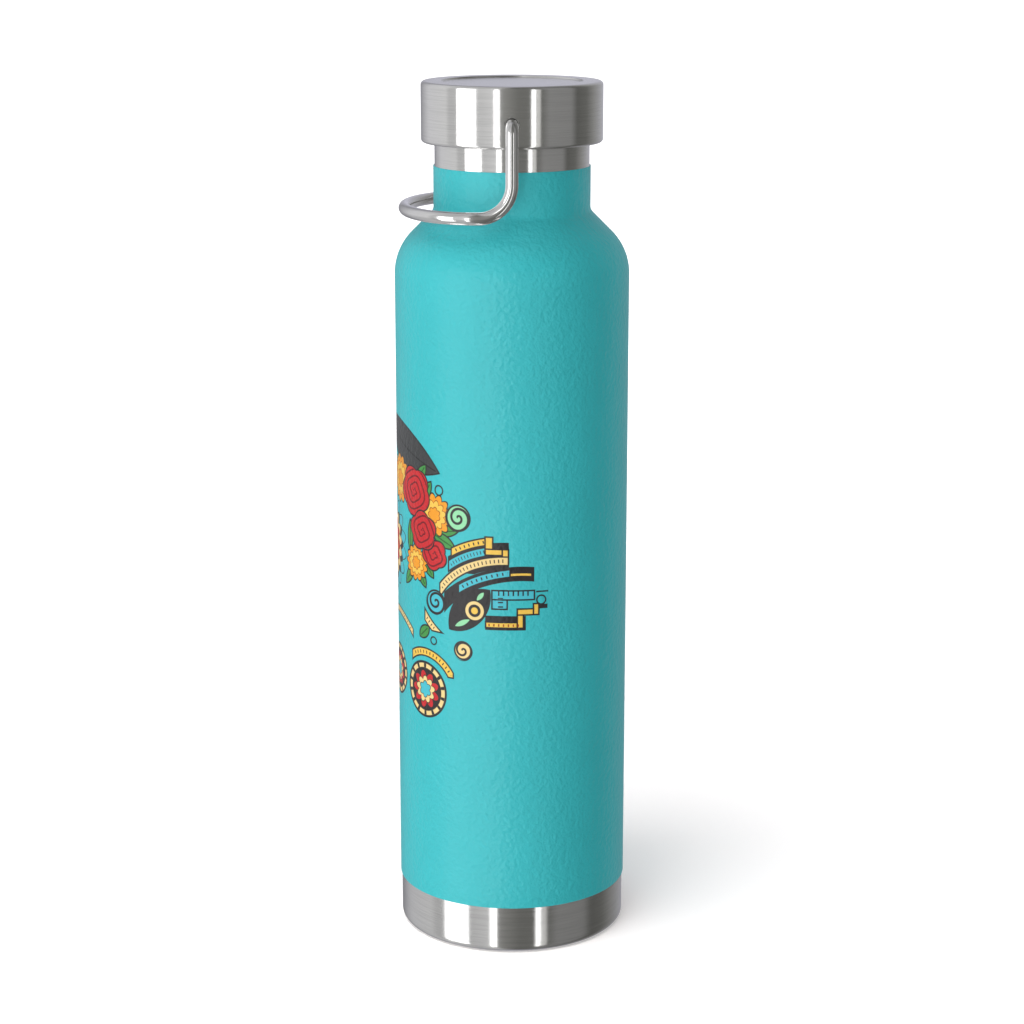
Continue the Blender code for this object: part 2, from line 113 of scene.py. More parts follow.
def rounded(corners, steps=4):
    """Closed outline whose corners, given as (radius, height, rounding), are arcs."""
    outline = []
    for index, corner in enumerate(corners):
        here = Vector(corner[:2])
        if len(corner) == 2:
            outline.append(corner)
            continue
        before = (Vector(corners[index - 1][:2]) - here).normalized()
        after = (Vector(corners[(index + 1) % len(corners)][:2]) - here).normalized()
        half = before.angle(after) / 2
        centre = here + (before + after).normalized() * corner[2] / math.sin(half)
        start = here + before * corner[2] / math.tan(half) - centre
        sweep = math.copysign(math.pi - 2 * half, before.cross(after))
        for step in range(steps + 1):
            turn = -sweep * step / steps
            x = start.x * math.cos(turn) - start.y * math.sin(turn)
            y = start.x * math.sin(turn) + start.y * math.cos(turn)
            outline.append((centre.x + x, centre.y + y))
    return outline


print("a corner rounded by 1 mm:", len(rounded([(0, 0), (9, 0), (9, 9, 1.0), (0, 9)])), "points")

# %% [markdown]
# ## From outline to piece
#
# `spin` turns an outline with bmesh. The outline is closed, so the result is a solid
# with an inside and an outside, like the sheet that it stands for. `to_object` makes it
# an object, and `place` says two things about it: the body that carries it and the
# solid that it stands for.

# %% Spin an outline and place the piece
ROUND_STEPS = 192


def spin(outline, steps=ROUND_STEPS, closed=True):
    """Turn an outline about the bottle's axis, with its two ends joined or left open."""
    shape = bmesh.new()
    points = [shape.verts.new((r, 0.0, z)) for r, z in outline]
    pairs = list(zip(points, points[1:] + points[:1]))
    if not closed or outline[0][0] == 0.0 and outline[-1][0] == 0.0:
        pairs.pop()
    edges = [shape.edges.new(pair) for pair in pairs]
    bmesh.ops.spin(shape, geom=points + edges, cent=(0, 0, 0), axis=(0, 0, 1),
                   angle=math.tau, steps=steps, use_merge=True)
    bmesh.ops.remove_doubles(shape, verts=shape.verts, dist=1e-7)
    return shape


def smooth(mesh, fold=50.0):
    """Shade a mesh smooth, apart from folds of more than some degrees."""
    mesh.shade_smooth()
    mesh.set_sharp_from_angle(angle=math.radians(fold))


def to_object(name, shape):
    """Make a bmesh an object with smooth faces and sharp folds."""
    bmesh.ops.recalc_face_normals(shape, faces=shape.faces)
    mesh = bpy.data.meshes.new(name)
    shape.to_mesh(mesh)
    shape.free()
    smooth(mesh)
    piece = bpy.data.objects.new(name, mesh)
    bpy.context.scene.collection.objects.link(piece)
    return piece


def place(piece, body, solid):
    """Let a piece ride on a body and stand for a solid."""
    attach(piece, body)
    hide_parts(solid)
    print(piece.name, "stands for", solid, "with", len(piece.data.polygons), "faces")
    return piece


# %% [markdown]
# ## Shoulder
#
# The body narrows to the neck in a large arc, a slope of 45 degrees and a small
# hollow arc. The coat, the outer wall and the liner all follow that line at different
# depths, so one function draws it for any radius of body and neck.

# %% Draw the shoulder
BODY_TOP = 212.0 * MM
SHOULDER_ARC = 18.0 * MM
NECK_FILLET = 3.0 * MM
SLOPE = math.radians(45.0)
COAT = 0.3 * MM
WALL = 0.45 * MM
steel_inset = coat_radius - steel_radius
wall_inset = steel_inset + WALL


def shoulder(body_r, neck_r, start_z, big_r, small_r, steps):
    """Outline from the straight body up to the straight neck."""
    big = arc((body_r - big_r, start_z), big_r, 0, math.degrees(SLOPE), steps)
    run = big[-1][0] - neck_r - small_r * (1 - math.cos(SLOPE))
    top = big[-1][1] + run / math.tan(SLOPE) + small_r * math.sin(SLOPE)
    return big + arc((neck_r + small_r, top), small_r, 180 + math.degrees(SLOPE), 180, steps // 2)


def body_shoulder(inset, steps=24):
    """Shoulder of the body, moved in from the outside of the coat."""
    return shoulder(coat_radius - inset, neck_radius - inset, BODY_TOP,
                    SHOULDER_ARC - inset, NECK_FILLET + inset, steps)


print("neck starts at", round(body_shoulder(0.0)[-1][1] / MM, 1), "mm")

# %% [markdown]
# ## Turquoise coat
#
# The body wears a baked powder coat from just above the foot to just below the cap.
# The powder melts and draws back a little where it stops, so both ends of the sleeve
# are rounded almost to half its thickness. A painted band on the steel would be
# quicker, but the real edge stands proud and casts a hairline shadow.

# %% Make the coat
COAT_EDGE = 0.13 * MM


def make_coat():
    """Sleeve of baked coat with soft ends."""
    outline = [(coat_radius, coat_low, COAT_EDGE), *rows((coat_radius, coat_low),
               (coat_radius, BODY_TOP), 40), *body_shoulder(0.0)]
    outline += [(neck_radius, coat_high, COAT_EDGE), (neck_radius - COAT, coat_high, COAT_EDGE)]
    outline += [*reversed(body_shoulder(COAT)), (coat_radius - COAT, coat_low, COAT_EDGE)]
    piece = to_object("turquoise_coat", spin(rounded(outline)))
    return place(piece, "bottle", "powder_coat")


coat = make_coat()

# %% [markdown]
# ## Outer wall
#
# The drawn steel shell shows as a band at the foot and another under the cap. Its
# foot is rolled inward to a flat ring, and the bottle stands on that ring. Between
# the two bands it hides under the coat, but it is one shell on the real bottle, so it
# is one here.

# %% Make the outer wall
FOOT_ROLL = 2.2 * MM
FOOT_RING = 1.1 * MM
foot_radius = steel_radius - FOOT_ROLL


def make_outer_wall():
    """Drawn shell with a rolled foot, a shoulder and an open neck."""
    top = high("outer_wall").z
    neck = neck_radius - steel_inset
    outline = [(foot_radius - FOOT_RING, 0.0)]
    outline += arc((foot_radius, FOOT_ROLL), FOOT_ROLL, 270, 360, 12)
    outline += rows((steel_radius, FOOT_ROLL), (steel_radius, coat_low), 12)
    outline += [*body_shoulder(steel_inset), (neck, coat_high), *rows((neck, coat_high), (neck, top), 6)]
    outline += [(neck, top), (neck - WALL, top), *reversed(body_shoulder(wall_inset))]
    outline += arc((foot_radius, FOOT_ROLL), FOOT_ROLL - WALL, 360, 270, 8)
    outline += [(foot_radius - FOOT_RING, WALL)]
    piece = to_object("steel_outer_wall", spin(outline))
    return place(piece, "bottle", "outer_wall")


outer_wall = make_outer_wall()

# %% [markdown]
# ## Screw thread
#
# The cap screws into the neck. The thread is rolled into the liner, so it is soft and
# wavy rather than cut: its height follows a cosine along a two-start helix, and fades
# out at both ends. The same wave shapes the plug, set back by the thread's play, so
# the two mesh in every position. A Screw modifier could wind a cut thread, but it
# would leave open ends that a rolled one doesn't have.

# %% Push a thread into a wall
THREAD_STARTS = 2
THREAD_PITCH = 4.0 * MM
THREAD_DEPTH = 1.0 * MM
THREAD_PLAY = 0.35 * MM
THREAD_RUN_OUT = 2.0 * MM
THREAD_BELOW_RIM = 3.0 * MM
THREAD_LENGTH = 13.0 * MM
THREAD_ROWS = 12
thread_high = rim_high - THREAD_BELOW_RIM
thread_low = thread_high - THREAD_LENGTH


def form_thread(shape, wall_r, inward):
    """Move a plain wall in or out by the height of the helix."""
    for vertex in shape.verts:
        x, y, z = vertex.co
        if abs(math.hypot(x, y) - wall_r) > 0.01 * MM:
            continue
        fade = min(max(min(z - thread_low, thread_high - z) / THREAD_RUN_OUT, 0.0), 1.0)
        turn = THREAD_STARTS * math.atan2(y, x) - math.tau * z / THREAD_PITCH
        ridge = (1 + math.cos(turn)) / 2
        shift = -ridge if inward else 1 - ridge
        scale = (wall_r + shift * THREAD_DEPTH * fade) / wall_r
        vertex.co = (x * scale, y * scale, z)
    return shape


def thread_rows(radius):
    """Outline rows that carry the thread, some for each ridge."""
    count = round(THREAD_ROWS * THREAD_LENGTH / THREAD_PITCH)
    return [(radius, thread_low + THREAD_LENGTH * row / count) for row in range(count + 1)]


print("thread has", len(thread_rows(1.0)), "rows")

# %% [markdown]
# ## Liner
#
# The drinking side is a second steel shell: a wall that ends in the rolled thread and
# the rounded rim, and a dished base that is welded to it. Both are seen through the
# open mouth, so they get real arcs, and the rim is rounded as a lip needs.

# %% Make the liner
NECK_VACUUM = 1.0 * MM
NECK_WALL = 0.55 * MM
SHOULDER_VACUUM = 2.5 * MM
LINER_CORNER = 4.0 * MM
RIM_LIP = 1.0 * MM
RIM_ROUNDING = 0.4 * MM
liner_radius = high("inner_wall").x
liner_low = low("inner_base").z
neck_bore = neck_radius - wall_inset - NECK_VACUUM - NECK_WALL


def liner_shoulder(grow, neck_r, steps=16):
    """Shoulder of the liner, which keeps its distance from the outer wall."""
    big_r = SHOULDER_ARC - (coat_radius - liner_radius)
    body_line = coat_radius - SHOULDER_ARC + SHOULDER_ARC / math.cos(SLOPE)
    liner_line = liner_radius - big_r + big_r / math.cos(SLOPE)
    inset = (wall_inset + SHOULDER_VACUUM) / math.cos(SLOPE)
    start = BODY_TOP + (body_line - liner_line - inset) / math.tan(SLOPE)
    return shoulder(liner_radius + grow, neck_r, start, big_r + grow, NECK_FILLET, steps)


def make_liner_wall():
    """Liner's wall with the rolled thread and the drinking rim."""
    start = low("inner_wall").z
    lip = neck_radius - steel_inset
    outline = [(liner_radius - WALL, start), *liner_shoulder(-WALL, neck_bore)]
    outline += [*thread_rows(neck_bore), (neck_bore, rim_high, RIM_ROUNDING)]
    outline += [(lip, rim_high, RIM_ROUNDING), (lip, rim_high - RIM_LIP)]
    outline += [(neck_bore + NECK_WALL, rim_high - RIM_LIP)]
    outline += [*reversed(liner_shoulder(0.0, neck_bore + NECK_WALL)), (liner_radius, start)]
    shape = form_thread(spin(rounded(outline, 6)), neck_bore, inward=True)
    return place(to_object("liner_wall", shape), "bottle", "inner_wall")


def make_liner_base():
    """Dished base of the liner."""
    top = high("inner_base").z
    corner = (liner_radius - LINER_CORNER, liner_low + LINER_CORNER)
    outline = [(0.0, liner_low), *arc(corner, LINER_CORNER, 270, 360, 12), (liner_radius, top)]
    outline += [(liner_radius - WALL, top), *arc(corner, LINER_CORNER - WALL, 360, 270, 12)]
    outline += [(0.0, liner_low + WALL)]
    piece = to_object("liner_base", spin(outline, 96))
    return place(piece, "bottle", "inner_base")


liner_wall = make_liner_wall()
liner_base = make_liner_base()

# %% [markdown]
# ## Base cover
#
# Under the bottle a thin disc hides the evacuation port. Its outer ring seats on the
# rolled foot and its middle is stamped a little inward, with two shallow rings that
# keep such a thin sheet from drumming.

# %% Make the base cover
COVER_STEP = 0.7 * MM
COVER_RING = 3.4 * MM
COVER_BEND = 0.25 * MM
BEAD_RADII = (9.0 * MM, 22.0 * MM)
BEAD_HEIGHT = 0.3 * MM
BEAD_HALF = 1.2 * MM
BEAD_ROUNDING = 0.5 * MM


def make_base_cover():
    """Stamped disc with a raised middle and two stiffening rings."""
    ring_low = low("base_cover").z
    ring = high("base_cover").x
    step = ring - COVER_RING
    floor = ring_low + COVER_STEP
    beads = []
    for radius in BEAD_RADII:
        for shift, height in ((-BEAD_HALF, floor), (0.0, floor - BEAD_HEIGHT), (BEAD_HALF, floor)):
            beads.append((radius + shift, height, BEAD_ROUNDING))
    under = [(0.0, floor), *beads, (step - COVER_STEP, floor, COVER_BEND), (step, ring_low, COVER_BEND)]
    above = [(corner[0], corner[1] + WALL, *corner[2:]) for corner in reversed(under)]
    outline = [*under, (ring, ring_low, 0.15 * MM), (ring, ring_low + WALL, 0.15 * MM), *above]
    piece = to_object("base_cover_disc", spin(rounded(outline)))
    return place(piece, "bottle", "base_cover")


base_cover = make_base_cover()

# %% [markdown]
# ## Cap cover
#
# The cap is a drawn steel cover over a plastic core. Its skirt ends in a rolled hem,
# its top edge is rounded, and a shallow circle is pressed into the top. The wire loop
# enters through a round hole on each side. The holes are cut with a Boolean against a
# plain rod, as a punch would make them, and the skirt has many rows so that the cut
# doesn't disturb the shading around it.

# %% Cut one piece with others
CUT_PAST = 2.0 * MM


def carve(piece, cutters, fold):
    """Subtract cutters from a piece, throw them away and shade the result smooth."""
    for cutter in cutters:
        change = piece.modifiers.new(cutter.name, "BOOLEAN")
        change.operation = "DIFFERENCE"
        change.solver = "EXACT"
        change.object = cutter
    graph = bpy.context.evaluated_depsgraph_get()
    carved = bpy.data.meshes.new_from_object(piece.evaluated_get(graph))
    piece.modifiers.clear()
    piece.data = carved
    smooth(carved, fold)
    for cutter in cutters:
        bpy.data.objects.remove(cutter)


def skin(shape, rings):
    """Faces between rings of vertices, and one over each end."""
    for ring, following in zip(rings, rings[1:]):
        for side, vertex in enumerate(ring):
            after = (side + 1) % len(ring)
            shape.faces.new((vertex, ring[after], following[after], following[side]))
    shape.faces.new(rings[0])
    shape.faces.new(rings[-1])


def rod(name, stations, sides=48):
    """Straight stepped rod along Y through the pivot, from (y, radius) stations."""
    shape = bmesh.new()
    rings = []
    for y, radius in stations:
        turns = [math.tau * side / sides for side in range(sides)]
        rings.append([shape.verts.new((radius * math.cos(t), y, pivot_high + radius * math.sin(t)))
                      for t in turns])
    skin(shape, rings)
    return to_object(name, shape)


# %% Make the cap cover
SHEET = 0.5 * MM
CAP_EDGE = 1.2 * MM
HEM = 1.0 * MM
CIRCLE_RING = 6.1 * MM
CIRCLE_DEPTH = 0.6 * MM
CIRCLE_ROUNDING = 0.22 * MM
HOLE_RADIUS = 2.35 * MM


def make_cap_cover():
    """Drawn cover with a hem, a pressed circle and two holes for the wire."""
    hem = (cap_radius - HEM, cap_low + HEM)
    edge = (cap_radius - CAP_EDGE, cap_high - CAP_EDGE)
    floor = cap_high - CIRCLE_DEPTH
    circle = cap_radius - CIRCLE_RING
    well = circle - CIRCLE_DEPTH / 2
    outline = [*arc(hem, HEM, 270, 360, 10), *rows((cap_radius, hem[1]), (cap_radius, edge[1]), 24)]
    outline += [*arc(edge, CAP_EDGE, 0, 90, 12), (circle, cap_high, CIRCLE_ROUNDING)]
    outline += [(well, floor, CIRCLE_ROUNDING), *rows((well, floor), (0.0, floor), 6), (0.0, floor)]
    outline += [(0.0, floor - SHEET), (well, floor - SHEET), (circle, cap_high - SHEET)]
    outline += [*arc(edge, CAP_EDGE - SHEET, 90, 0, 8), *arc(hem, HEM - SHEET, 360, 270, 8)]
    points = rounded(outline)
    split = points.index((0.0, floor)) + 1
    piece = to_object("steel_cap_cover", spin(points[split:] + points[:split]))
    reach = cap_radius + CUT_PAST
    carve(piece, [rod("hole_punch", [(-reach, HOLE_RADIUS), (reach, HOLE_RADIUS)])], 40.0)
    return place(piece, "cap", "cap_shell")


cap_cover = make_cap_cover()

# %% [markdown]
# ## Cap core, gasket and plug cover
#
# With the cap off, its plastic plug shows with the thread on it. The plug is hollow
# for foam, and a small lid closes it. A silicone ring above the thread seals on the
# rim. The pockets that hold the ends of the wire are cut into the core with stepped
# rods.

# %% Make the core, the gasket and the lid
PLUG_LENGTH = 17.3 * MM
PLUG_WALL = 2.45 * MM
PLUG_ROOF = 3.4 * MM
SKIRT_PLAY = 0.9 * MM
FIT = 0.3 * MM
POCKET_PLAY = 0.35 * MM
HEAD_RADIUS = 2.9 * MM
HEAD_LENGTH = 1.4 * MM
HEAD_INSET = 2.0 * MM
GASKET_WIDTH = 1.9 * MM
GASKET_SOFT = 0.45 * MM
GASKET_CRISP = 0.1 * MM
LID_DISH = 0.4 * MM
LID_BAND = 4.2 * MM
LID_THICK = 1.2 * MM
plug_radius = neck_bore - THREAD_PLAY - THREAD_DEPTH
plug_bottom = rim_high - PLUG_LENGTH
hollow = plug_radius - PLUG_WALL
head_outer = cap_radius - SHEET - HEAD_INSET


def make_core():
    """Threaded core with a hollow plug and pockets for the ends of the wire."""
    radius = high("cap_core").x
    top = high("cap_core").z
    skirt_low = cap_low + HEM
    skirt_inside = neck_radius - steel_inset + SKIRT_PLAY
    seat = high("neck_gasket").z + FIT
    roof = pivot_high - PLUG_ROOF
    outline = [(0.0, roof), (hollow, roof), (hollow, plug_bottom, 0.4 * MM)]
    outline += [(plug_radius, plug_bottom, 0.5 * MM), *thread_rows(plug_radius)]
    outline += [(plug_radius, seat), (skirt_inside, seat, 0.3 * MM), (skirt_inside, skirt_low, 0.3 * MM)]
    outline += [(radius, skirt_low, 0.3 * MM), (radius, top), (0.0, top)]
    piece = to_object("threaded_core", form_thread(spin(rounded(outline)), plug_radius, inward=False))
    past = cap_radius + CUT_PAST
    outer = head_outer + POCKET_PLAY
    inner = head_outer - HEAD_LENGTH - POCKET_PLAY
    pockets = []
    for side, name in ((-1, "front_pocket"), (1, "back_pocket")):
        stations = [(side * past, HOLE_RADIUS), (side * outer, HOLE_RADIUS)]
        stations += [(side * outer, HEAD_RADIUS + POCKET_PLAY), (side * inner, HEAD_RADIUS + POCKET_PLAY)]
        pockets.append(rod(name, stations))
    carve(piece, pockets, 50.0)
    return place(piece, "cap", "cap_core")


def make_gasket():
    """Silicone ring with soft edges."""
    bottom = low("neck_gasket").z
    top = high("neck_gasket").z
    outside = high("neck_gasket").x
    inside = outside - GASKET_WIDTH
    corners = [(inside, bottom, GASKET_SOFT), (outside, bottom, GASKET_SOFT)]
    corners += [(outside, top, GASKET_CRISP), (inside, top, GASKET_CRISP)]
    piece = to_object("rim_gasket", spin(rounded(corners, 6)))
    return place(piece, "cap_seal", "neck_gasket")


def make_plug_lid():
    """Lid that closes the hollow plug, with a shallow dish and a soft edge."""
    bottom = low("plug_cover").z
    top = plug_bottom - FIT
    rim = high("plug_cover").x
    lip = hollow - FIT
    lip_top = high("plug_cover").z
    dish = bottom + LID_DISH
    outline = [(0.0, dish), (rim - LID_BAND - 2 * LID_DISH, dish, 0.6 * MM)]
    outline += [(rim - LID_BAND, bottom, 0.4 * MM), (rim, bottom, 0.55 * MM), (rim, top), (lip, top)]
    outline += [(lip, lip_top), (lip - LID_THICK, lip_top), (lip - LID_THICK, top), (0.0, top)]
    piece = to_object("plug_lid", spin(rounded(outline, 6)))
    return place(piece, "cap", "plug_cover")


core = make_core()
gasket = make_gasket()
plug_lid = make_plug_lid()

# %% [markdown]
# ## Wire loop
#
# The loop is one length of stainless wire. Each end goes into the cap and is upset to
# a head there, so it can't pull out. Outside, the wire bends down over the skirt,
# sweeps back along the neck, and closes in a half oval behind it. A curve object
# with a round bevel would do, but rings swept along the centre line give the heads
# and the tight bends exactly, and the mesh stays closed.

# %% Sweep the wire
WIRE_RADIUS = 1.9 * MM
WIRE_SIDES = 40
PIVOT_BEND = 3.2 * MM
LOWER_BEND = 10.0 * MM
LOOP_DROP = 27.45 * MM
LOOP_OVERHANG = 5.2 * MM
LOOP_STRAIGHT = 0.5 * MM
LEG_PLAY = 1.1 * MM
leg_y = cap_radius + LEG_PLAY + WIRE_RADIUS


def quarter(centre, start, end, steps):
    """Quarter of an ellipse about a centre, from one arm to another."""
    turns = [math.pi / 2 * step / steps for step in range(steps + 1)]
    return [Vector(centre) + Vector(start) * math.cos(t) + Vector(end) * math.sin(t) for t in turns]


def wire_line():
    """Centre line of the wire, from its front end round to its back end."""
    oval = LOWER_BEND + LOOP_STRAIGHT
    reach = cap_radius + LOOP_OVERHANG
    half = [Vector((0.0, -head_outer, 0.0))]
    half += quarter((0.0, -leg_y + PIVOT_BEND, -PIVOT_BEND), (0, 0, PIVOT_BEND), (0, -PIVOT_BEND, 0), 14)
    half += quarter((-LOWER_BEND, -leg_y, -LOOP_DROP + LOWER_BEND), (LOWER_BEND, 0, 0),
                    (0, 0, -LOWER_BEND), 24)
    half += quarter((-oval, 0.0, -LOOP_DROP), (0, -leg_y, 0), (oval - reach, 0, 0), 44)
    return half + [Vector((x, -y, z)) for x, y, z in reversed(half[:-1])]


def make_wire():
    """Round wire along the centre line, with an upset head on each end."""
    line = wire_line()
    inner = head_outer - HEAD_LENGTH
    stations = [(Vector((0.0, -inner, 0.0)), HEAD_RADIUS), (line[0], HEAD_RADIUS)]
    stations += [(point, WIRE_RADIUS) for point in line]
    stations += [(line[-1], HEAD_RADIUS), (Vector((0.0, inner, 0.0)), HEAD_RADIUS)]
    shape = bmesh.new()
    side = Vector((1.0, 0.0, 0.0))
    rings = []
    for index, (point, radius) in enumerate(stations):
        before = stations[max(index - 1, 0)][0]
        after = stations[min(index + 1, len(stations) - 1)][0]
        along = (after - before).normalized()
        side = (side - along * side.dot(along)).normalized()
        other = along.cross(side)
        turns = [math.tau * step / WIRE_SIDES for step in range(WIRE_SIDES)]
        lift = point + Vector((0.0, 0.0, pivot_high))
        rings.append([shape.verts.new(lift + radius * (side * math.cos(t) + other * math.sin(t)))
                      for t in turns])
    skin(shape, rings)
    return place(to_object("wire_loop", shape), "handle", "bail_handle")


wire = make_wire()

# %% [markdown]
# ## Node expressions
#
# A procedural finish is arithmetic on a position. Written node by node, that
# arithmetic is hard to read, so a small class wraps a socket and lets Python's own
# operators add the Math nodes. Everything else, from noise to bump, comes from its one
# method `node`, which takes the node's type, its settings, and the values or links of
# its sockets.

# %% Wrap a socket
class Signal:
    """A node socket that can be used in Python expressions."""

    def __init__(self, tree, socket=None):
        self.tree = tree
        self.socket = socket

    def node(self, kind, settings, sockets, output=0):
        """Add a node: settings first, then a value or a link for each socket."""
        added = self.tree.nodes.new("ShaderNode" + kind)
        for name, value in settings.items():
            if name == "stops":
                self.set_stops(added.color_ramp, value)
            else:
                setattr(added, name, value)
        for name, value in sockets.items():
            self.join(value, added.inputs[name])
        return Signal(self.tree, added.outputs[output])

    def set_stops(self, ramp, stops):
        """Give a colour ramp its stops, as pairs of position and colour."""
        while len(ramp.elements) < len(stops):
            ramp.elements.new(1.0)
        for element, (position, colour) in zip(ramp.elements, stops):
            element.position = position
            element.color = (*colour, 1.0)

    def output(self, index):
        """Another output of the same node."""
        return Signal(self.tree, self.socket.node.outputs[index])

    def join(self, value, socket):
        """Link a signal to a socket, or set the socket's own value."""
        if isinstance(value, Signal):
            self.tree.links.new(value.socket, socket)
        elif isinstance(value, tuple) and len(value) == 3 and socket.type == "RGBA":
            socket.default_value = (*value, 1.0)
        else:
            socket.default_value = value

    def math(self, operation, *values):
        """Math node with its values in order."""
        return self.node("Math", {"operation": operation}, dict(enumerate(values)))

    def measure(self, operation, *others):
        """Number that Vector Math takes from vectors, such as a length or a distance."""
        return self.node("VectorMath", {"operation": operation}, dict(enumerate((self, *others))), 1)

    def stretch(self, first, last, low=0.0, high=1.0):
        """Go from low to high while the value goes from first to last."""
        return self.node("MapRange", {}, dict(enumerate((self, first, last, low, high))))

    def __add__(self, other):
        return self.math("ADD", self, other)

    def __sub__(self, other):
        return self.math("SUBTRACT", self, other)

    def __rsub__(self, other):
        return self.math("SUBTRACT", other, self)

    def __mul__(self, other):
        return self.math("MULTIPLY", self, other)

    def __truediv__(self, other):
        return self.math("DIVIDE", self, other)

    def __abs__(self):
        return self.math("ABSOLUTE", self)

    def __and__(self, other):
        return self.math("MINIMUM", self, other)

    def __or__(self, other):
        return self.math("MAXIMUM", self, other)


print("expression class ready")

# %% [markdown]
# ## Start of a finish
#
# `Finish` holds a material and its Principled shader, and the position that every
# finish here is worked out from. All pieces sit at the origin, so the object's own
# coordinates are the bottle's, in metres. Values that are the same all over the
# surface go straight to the shader's sockets.

# %% Start a material
class Finish:
    """A Principled material with the bottle's coordinates at hand."""

    def __init__(self, name, constants):
        self.material = bpy.data.materials.new(name)
        self.material.use_nodes = True
        self.tree = self.material.node_tree
        self.shader = self.tree.nodes["Principled BSDF"]
        self.position = Signal(self.tree).node("TexCoord", {}, {}, 3)
        self.x = self.position.node("SeparateXYZ", {}, {0: self.position})
        self.y = self.x.output(1)
        self.z = self.x.output(2)
        self.feed(constants)

    def feed(self, sockets):
        """Set or link sockets of the Principled shader."""
        for name, value in sockets.items():
            self.position.join(value, self.shader.inputs[name])

    def vector(self, x, y, z):
        """Vector from three signals or numbers."""
        return self.position.node("CombineXYZ", {}, {0: x, 1: y, 2: z})

    def noise(self, scale, detail=2.0, vector=None):
        """Noise between 0 and 1; scale is in features for each unit of the vector."""
        sockets = {"Vector": vector or self.position, "Scale": scale, "Detail": detail}
        return self.position.node("TexNoise", {}, sockets)

    def ramp(self, value, stops):
        """Colour ramp over a value, from pairs of position and colour."""
        return self.position.node("ValToRGB", {"stops": stops}, {0: value})

    def blend(self, mask, first, second):
        """Colour that goes from the first to the second as the mask rises."""
        return self.position.node("Mix", {"data_type": "RGBA"}, {0: mask, 6: first, 7: second}, 2)

    def bump(self, height, distance, normal=None):
        """Normal that follows a height, which a distance in metres scales."""
        sockets = {"Height": height, "Distance": distance, "Strength": 1.0}
        if normal:
            sockets["Normal"] = normal
        return self.position.node("Bump", {}, sockets)


def shade(colour, share):
    """A colour made darker or paler, but no more than white."""
    return tuple(min(share * part, 1.0) for part in colour)


def wear(piece, finish):
    """Give a piece its material."""
    piece.data.materials.clear()
    piece.data.materials.append(finish.material)


# %% [markdown]
# ## Brushed steel
#
# The cap, the neck and the foot are spun against a fine abrasive, which leaves level
# rings. Rings scatter light up and down but hardly sideways, so each lamp becomes a
# tall streak with a crisp side. Two things make that here: the shader's own
# anisotropy, turned a quarter so that it stretches along the height, and a faint bump
# whose rings follow height plus radius, so that it also works on the flat top. The
# flats are blasted to an even satin, so a second shader without the stretch takes
# over where the surface faces up or down.

# %% Make the brushed steel
RING_DENSITY = 3000.0
RING_WANDER = 70.0


def make_brushed_steel(name, tint, roughness, depth):
    """Spun stainless steel with level rings on its sides and an even satin on its flats."""
    finish = Finish(name, {"Metallic": 1.0, "Anisotropic": 1.0, "Anisotropic Rotation": 0.25})
    level = finish.z + finish.vector(finish.x, finish.y, 0.0).measure("LENGTH")
    around = [finish.x * RING_WANDER, finish.y * RING_WANDER]
    fine = finish.noise(1.0, 3.0, finish.vector(*around, level * RING_DENSITY))
    broad = finish.noise(0.5, 2.0, finish.vector(*around, level * RING_DENSITY / 4))
    cloud = finish.noise(60.0, 3.0)
    lines = fine * 0.75 + broad * 0.25
    colour = finish.ramp(lines, [(0.30, shade(tint, 0.91)), (0.52, tint), (0.70, shade(tint, 1.05))])
    normal = finish.bump(lines, depth)
    finish.feed({"Base Color": colour, "Normal": normal})
    finish.feed({"Roughness": (lines - 0.5) * 0.12 + (cloud - 0.5) * 0.05 + roughness})
    satin = finish.position.node("BsdfPrincipled", {}, {"Metallic": 1.0, "Roughness": roughness + 0.08,
                                                        "Base Color": colour, "Normal": normal})
    facing = finish.position.node("NewGeometry", {}, {}, 1)
    flat = abs(finish.position.node("SeparateXYZ", {}, {0: facing}).output(2))
    mask = flat.stretch(0.75, 0.97)
    side = Signal(finish.tree, finish.shader.outputs[0])
    both = finish.position.node("MixShader", {}, {0: mask, 1: side, 2: satin})
    both.join(both, finish.tree.nodes["Material Output"].inputs["Surface"])
    return finish


STEEL_TINT = (0.83, 0.825, 0.82)
brushed_steel = make_brushed_steel("brushed_steel", STEEL_TINT, 0.17, 0.016 * MM)
for piece in (outer_wall, cap_cover, liner_wall, liner_base, base_cover):
    wear(piece, brushed_steel)
print("brushed steel has", len(brushed_steel.tree.nodes), "nodes")

# %% [markdown]
# ## Bright wire
#
# The loop is drawn and tumbled bright, so it mirrors the lamps almost sharply. Faint
# draw marks and a few handling scuffs break the mirror up.

# %% Make the bright wire
def make_bright_wire():
    """Bright drawn wire."""
    finish = Finish("bright_wire", {"Metallic": 1.0})
    scuffs = finish.noise(900.0, 4.0)
    waves = finish.noise(160.0, 1.0)
    finish.feed({"Base Color": finish.blend(waves, (0.80, 0.795, 0.79), (0.86, 0.86, 0.865))})
    finish.feed({"Roughness": scuffs * 0.06 + 0.10})
    finish.feed({"Normal": finish.bump(waves * 0.7 + scuffs * 0.3, 0.002 * MM)})
    return finish


bright_wire = make_bright_wire()
wear(wire, bright_wire)

# %% [markdown]
# ## Turquoise powder coat
#
# Powder melts into a skin with low hills about a millimetre across, which shows where
# a highlight runs out. The colour varies very little. The skin is half gloss, so the
# lamps show as broad soft bands. The studio's cards keep the coat out of the steel's
# reflections, and leaving it out of gloss does the same here.

# %% Make the coat's own colour and skin
COAT_COLOUR = (0.042, 0.510, 0.555)


